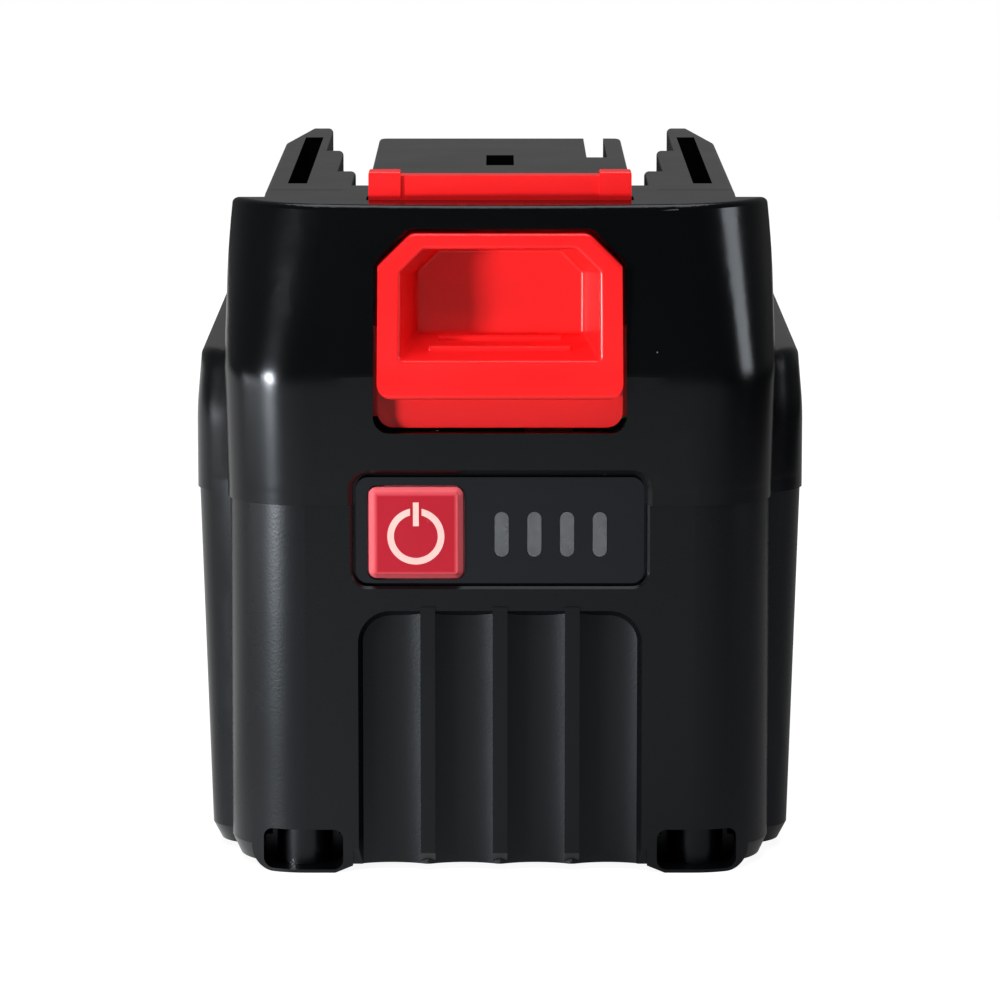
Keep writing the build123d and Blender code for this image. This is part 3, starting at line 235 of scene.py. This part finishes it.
guidePlastic, *_ = mouldedPlastic("smokedPolycarbonate", guideLook)
dress("indicator_panel", panelPlastic)
dress("light_guide", guidePlastic)
print("panel dressed")


# What is inside the case

cellNames = ["cell_%02d" % n for n in range(1, 16)]
innerLooks = {
    "shrinkWrap": ({"dark": "#1d6f4c", "light": "#23805a", "rough": (0.22, 0.3)}, cellNames),
    "frameAbs": ({"dark": "#d8d6cf", "light": "#e4e2dc", "rough": (0.45, 0.55)},
                 ["cell_holder_left", "cell_holder_right"]),
    "barleyPaper": ({"dark": "#9aa68c", "light": "#b0ba9f", "rough": (0.75, 0.9)},
                    ["side_sheet_left", "side_sheet_right", "top_sheet"]),
    "glassEpoxy": ({"dark": "#0d4a28", "light": "#125a33", "rough": (0.3, 0.4)},
                   ["main_board", "light_board"]),
    "chipEpoxy": ({"dark": "#17181a", "light": "#202123", "rough": (0.5, 0.6)},
                  ["board_chips", "power_switch", "switch_plunger"]),
    "nylonYellow": ({"dark": "#d8a51c", "light": "#e3b22c", "rough": (0.4, 0.5)},
                    ["data_connector", "board_cable"]),
    "lampResin": ({"dark": "#ece8d8", "light": "#f6f3e6", "rough": (0.3, 0.4)}, ["charge_lights"]),
}
innerGrain = {"dust": "#909090", "ior": 1.5, "driftSize": 12, "wearSize": 6, "grainSize": 0.35,
              "grainDepth": 0.006, "grainStrength": 0.5, "dustGap": 3.0, "dustSize": 0.06, "dustShare": 0.05}
for name, (look, names) in innerLooks.items():
    innerPlastic, *_ = mouldedPlastic(name, {**innerGrain, **look})
    for nodeName in names:
        dress(nodeName, innerPlastic)


lineLook = {"strength": 0.3, "depth": 0.004 * mm}


def drawnMetal(name, look):
    # Sheet or wire metal: bright, with fine lines along the way it was rolled or drawn.
    material, tree, shader, place = newMaterial(name, {"Base Color": linear(look["colour"]), "Metallic": 1.0})
    squeeze = addNode(tree, "ShaderNodeMapping", {"Scale": look["along"]}, {"Vector": place})
    lines = addNode(tree, "ShaderNodeTexNoise", {"Scale": perMm(look["lineGap"]), "Detail": 3.0},
                    {"Vector": squeeze.outputs[0]})
    gloss = addNode(tree, "ShaderNodeMapRange", {**noiseSpan, 3: look["rough"][0], 4: look["rough"][1]},
                    {0: lines.outputs["Fac"]})
    tree.links.new(gloss.outputs[0], shader.inputs["Roughness"])
    bump = addNode(tree, "ShaderNodeBump", {"Strength": lineLook["strength"], "Distance": lineLook["depth"]},
                   {"Height": lines.outputs["Fac"]})
    tree.links.new(bump.outputs[0], shader.inputs["Normal"])
    return material


metalLooks = {
    "nickelSheet": ({"colour": "#b9b5aa", "rough": (0.25, 0.4), "lineGap": 0.3, "along": (1, 0.1, 0.1)},
                    ["cell_strip_%s_%d" % (side, n) for side in ("left", "right") for n in (1, 2, 3)]),
    "tinnedBrass": ({"colour": "#d5b878", "rough": (0.22, 0.35), "lineGap": 0.3, "along": (1, 0.1, 1)},
                    ["contact_positive", "contact_negative"]),
    "springSteel": ({"colour": "#9fa2a6", "rough": (0.2, 0.32), "lineGap": 0.2, "along": (1, 1, 1)},
                    ["latch_spring_left", "latch_spring_right"]),
    "zincSteel": ({"colour": "#a5a7ab", "rough": (0.3, 0.42), "lineGap": 0.25, "along": (1, 1, 0.2)},
                  ["case_screws"]),
}
for name, (look, names) in metalLooks.items():
    sheetMetal = drawnMetal(name, look)
    for nodeName in names:
        dress(nodeName, sheetMetal)
print("inner pieces dressed")


# Table, room and lamps. The table's white fills the whole picture.

tableSize = {"left": -0.6, "right": 0.3, "front": -0.6, "rear": 0.7}
tableTone = "#7a7a7a"
tableGlow = 0.92                  # with the lamps' own light on it the table comes out white
tableShade = [(-150, 0.6), (-105, 0.7), (-75, 0.5), (-45, 0.9), (-15, 0.78), (15, 0.34), (45, 0.12),
              (75, 0.04), (150, 0.04)]        # degrees from straight ahead, left negative; share of white
tableMesh = bpy.data.meshes.new("table")
corners = [("left", "front"), ("right", "front"), ("right", "rear"), ("left", "rear")]
tableMesh.from_pydata([(tableSize[side], tableSize[end], 0) for side, end in corners], [], [(0, 1, 2, 3)])
table = bpy.data.objects.new("table", tableMesh)
scene.collection.objects.link(table)
tableMaterial = bpy.data.materials.new("whiteTable")
tableMaterial.use_nodes = True
tree = tableMaterial.node_tree
tree.nodes.clear()
rays = addNode(tree, "ShaderNodeLightPath")
seen = addNode(tree, "ShaderNodeMath", {"operation": "MAXIMUM"},
               {0: rays.outputs["Is Camera Ray"], 1: rays.outputs["Is Transmission Ray"]})
# the window side of the table (left) mirrors white in the case, the far side is in shade
place = addNode(tree, "ShaderNodeTexCoord").outputs["Object"]
parts = addNode(tree, "ShaderNodeSeparateXYZ", {}, {0: place})
ahead = addNode(tree, "ShaderNodeMath", {"operation": "MULTIPLY", 1: -1.0}, {0: parts.outputs["Y"]})
bearing = addNode(tree, "ShaderNodeMath", {"operation": "ARCTAN2"},
                  {0: parts.outputs["X"], 1: ahead.outputs[0]})
turn = addNode(tree, "ShaderNodeMapRange", {1: -math.pi, 2: math.pi, 3: 0.0, 4: 1.0},
               {0: bearing.outputs[0]})
shade = addNode(tree, "ShaderNodeValToRGB", {}, {0: turn.outputs[0]})
for end in shade.color_ramp.elements:
    end.color = (tableShade[0][1],) * 3 + (1,)
for degrees, level in tableShade:
    stop = shade.color_ramp.elements.new((degrees + 180) / 360)
    stop.color = (level, level, level, 1)
mirrored = multiply(tree, rays.outputs["Is Glossy Ray"], shade.outputs["Color"])
seen = addNode(tree, "ShaderNodeMath", {"operation": "MAXIMUM"}, {0: seen.outputs[0], 1: mirrored})
glow = addNode(tree, "ShaderNodeMath", {"operation": "MULTIPLY", 1: tableGlow}, {0: seen.outputs[0]})
shine = addNode(tree, "ShaderNodeEmission", {"Color": (1, 1, 1, 1)}, {"Strength": glow.outputs[0]})
card = addNode(tree, "ShaderNodeBsdfDiffuse", {"Color": linear(tableTone)})
both = addNode(tree, "ShaderNodeAddShader", {}, {0: shine.outputs[0], 1: card.outputs[0]})
addNode(tree, "ShaderNodeOutputMaterial", {}, {"Surface": both.outputs[0]})
tableMesh.materials.append(tableMaterial)

world = bpy.data.worlds.new("studio")
scene.world = world
world.use_nodes = True
tree = world.node_tree
tree.nodes.clear()
rays = addNode(tree, "ShaderNodeLightPath")
# past the table the room is dim, a little paler behind the pack than in front of it, and darker below
roomLook = {"front": 0.06, "frontFrom": -0.3, "rear": 0.16, "rearFrom": 0.8,
            "below": 0.15, "belowFrom": -0.1, "above": 1.0, "aboveFrom": 0.0}
direction = addNode(tree, "ShaderNodeTexCoord").outputs["Generated"]
axes = addNode(tree, "ShaderNodeSeparateXYZ", {}, {0: direction})
levels = []
for axis, start, end in (("Y", "front", "rear"), ("Z", "below", "above")):
    level = addNode(tree, "ShaderNodeMapRange", {1: roomLook[start + "From"], 2: roomLook[end + "From"],
                                                 3: roomLook[start], 4: roomLook[end]},
                    {0: axes.outputs[axis]})
    levels.append(level.outputs[0])
room = multiply(tree, *levels)
seen = addNode(tree, "ShaderNodeMath", {"operation": "MAXIMUM"},
               {0: rays.outputs["Is Camera Ray"], 1: rays.outputs["Is Transmission Ray"]})
strength = addNode(tree, "ShaderNodeMix", {"data_type": "FLOAT", 3: 1.0},
                   {0: seen.outputs[0], 2: room})
sky = addNode(tree, "ShaderNodeBackground", {"Color": (1, 1, 1, 1)}, {"Strength": strength.outputs[0]})
addNode(tree, "ShaderNodeOutputWorld", {}, {"Surface": sky.outputs[0]})

# bearing: degrees from straight ahead of the pack, left negative; the rest in metres and watts
lamps = {
    "lowLeftStrip": {"bearing": -62, "distance": 0.5, "height": 0.012, "size": (0.5, 0.024), "power": 0.36},
    "window": {"bearing": -46, "distance": 0.5, "height": 0.052, "size": (0.08, 0.02), "power": 2.4},
    "tallRight": {"bearing": 72, "distance": 0.5, "height": 0.16, "size": (0.15, 0.18), "power": 0.6},
    "overhead": {"bearing": 180, "distance": 0.05, "height": 1.1, "size": (0.9, 0.9), "power": 9},
    "frontFill": {"bearing": -12, "distance": 1.0, "height": 1.3, "size": (0.8, 0.4), "power": 14,
                  "mirrored": False},
}
lampAim = (0, -0.03, 0.05)
for name, lamp in lamps.items():
    light = bpy.data.lights.new(name, "AREA")
    light.shape = "RECTANGLE"
    light.size, light.size_y = lamp["size"]
    light.energy = lamp["power"]
    lampObject = bpy.data.objects.new(name, light)
    bearing = math.radians(lamp["bearing"])
    place = (lamp["distance"] * math.sin(bearing), -lamp["distance"] * math.cos(bearing), lamp["height"])
    lampObject.location = place
    aim = [a - p for a, p in zip(lampAim, place)]
    flat = math.hypot(aim[0], aim[1])
    lampObject.rotation_euler = (math.atan2(flat, -aim[2]), 0, math.atan2(-aim[0], aim[1]))
    lampObject.visible_camera = False
    lampObject.visible_glossy = lamp.get("mirrored", True)
    scene.collection.objects.link(lampObject)

cameraSetup = {"place": (0, -700 * mm, 148.2 * mm), "tilt": 9.01, "lens": 193.3,
               "sensor": 36, "near": 0.05}
cameraData = bpy.data.cameras.new("camera")
cameraData.lens = cameraSetup["lens"]
cameraData.sensor_width = cameraSetup["sensor"]
cameraData.clip_start = cameraSetup["near"]
camera = bpy.data.objects.new("camera", cameraData)
camera.location = cameraSetup["place"]
camera.rotation_euler = (math.radians(90 - cameraSetup["tilt"]), 0, 0)
scene.collection.objects.link(camera)
scene.camera = camera
scene.view_settings.view_transform = "Standard"
print("studio set")
